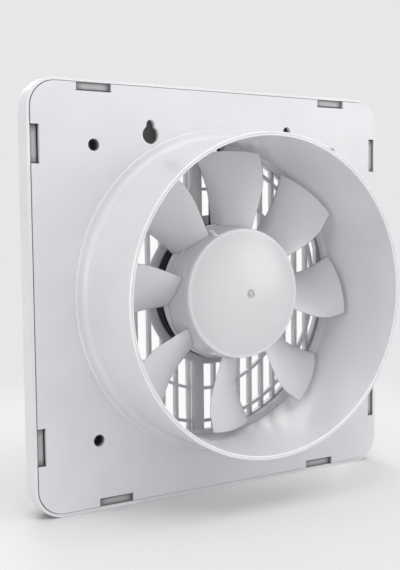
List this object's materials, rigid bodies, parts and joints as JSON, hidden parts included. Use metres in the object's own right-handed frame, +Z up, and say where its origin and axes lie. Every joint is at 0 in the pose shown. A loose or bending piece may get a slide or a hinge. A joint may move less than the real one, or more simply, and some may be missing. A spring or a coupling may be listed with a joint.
{
  "type": "window and wall exhaust fan",
  "caption": "Axial exhaust fan for a wall or window: square cover with a barred grille, flat wall plate, round duct spigot and a bladed impeller on a motor in the air path.",
  "frame": {"origin": "on the fan's axis, in the plane of the wall plate's rear face", "axes": "+Z up, +Y along the fan's axis out of the duct spigot (outdoors), -Y out of the grille into the room"},
  "size_m": [0.2016, 0.0652, 0.1996],
  "materials": {
    "housing_plastic": "satin light grey moulding",
    "cover_plastic": "satin white moulding",
    "bracket_plastic": "pale grey moulding",
    "black_plastic": "black moulding",
    "impeller_plastic": "satin white moulding",
    "bobbin_nylon": "natural nylon",
    "washer_nylon": "natural nylon",
    "terminal_plastic": "dark moulding",
    "zinc_screw": "zinc plated",
    "shaft_steel": "ground steel",
    "core_steel": "stacked sheet steel",
    "rotor_alloy": "cast and turned",
    "copper_wire": "enamelled copper, orange brown",
    "bronze": "sintered bronze",
    "brass": "turned brass",
    "rubber": "black rubber",
    "fuse_body": "pale sleeve",
    "lead_brown": "brown insulation",
    "lead_blue": "blue insulation"
  },
  "bodies": {
    "housing": {"back_housing": "housing_plastic", "motor_bracket": "bracket_plastic", "bracket_screws": "zinc_screw", "motor_rear_shell": "black_plastic", "motor_front_shell": "black_plastic", "through_bolts": "zinc_screw", "stator_core": "core_steel", "coil_bobbins": "bobbin_nylon", "stator_windings": "copper_wire", "thermal_fuse": "fuse_body", "front_bush": "bronze", "rear_bush": "bronze", "bearing_cap": "black_plastic", "motor_screws": "zinc_screw", "motor_grommets": "rubber", "terminal_block": "terminal_plastic", "terminal_screws": "brass", "cable_clamp": "cover_plastic", "clamp_screws": "zinc_screw", "cable_grommet": "rubber", "wiring_cover": "cover_plastic", "wiring_cover_screw": "zinc_screw", "live_lead": "lead_brown", "neutral_lead": "lead_blue"},
    "fan": {"impeller": "impeller_plastic", "hub_insert": "brass", "motor_shaft": "shaft_steel", "rotor": "rotor_alloy", "thrust_washers": "washer_nylon", "retaining_clip": "zinc_screw"},
    "cover": {"front_cover": "cover_plastic"}
  },
  "joints": [
    {"name": "fan_spin", "type": "hinge", "parent": "housing", "child": "fan", "pos_m": [0, 0, 0], "axis": [0, 1, 0], "continuous": true},
    {"name": "cover_pull", "type": "slide", "parent": "housing", "child": "cover", "axis": [0, -1, 0], "range_m": [0, 0.03]}
  ]
}
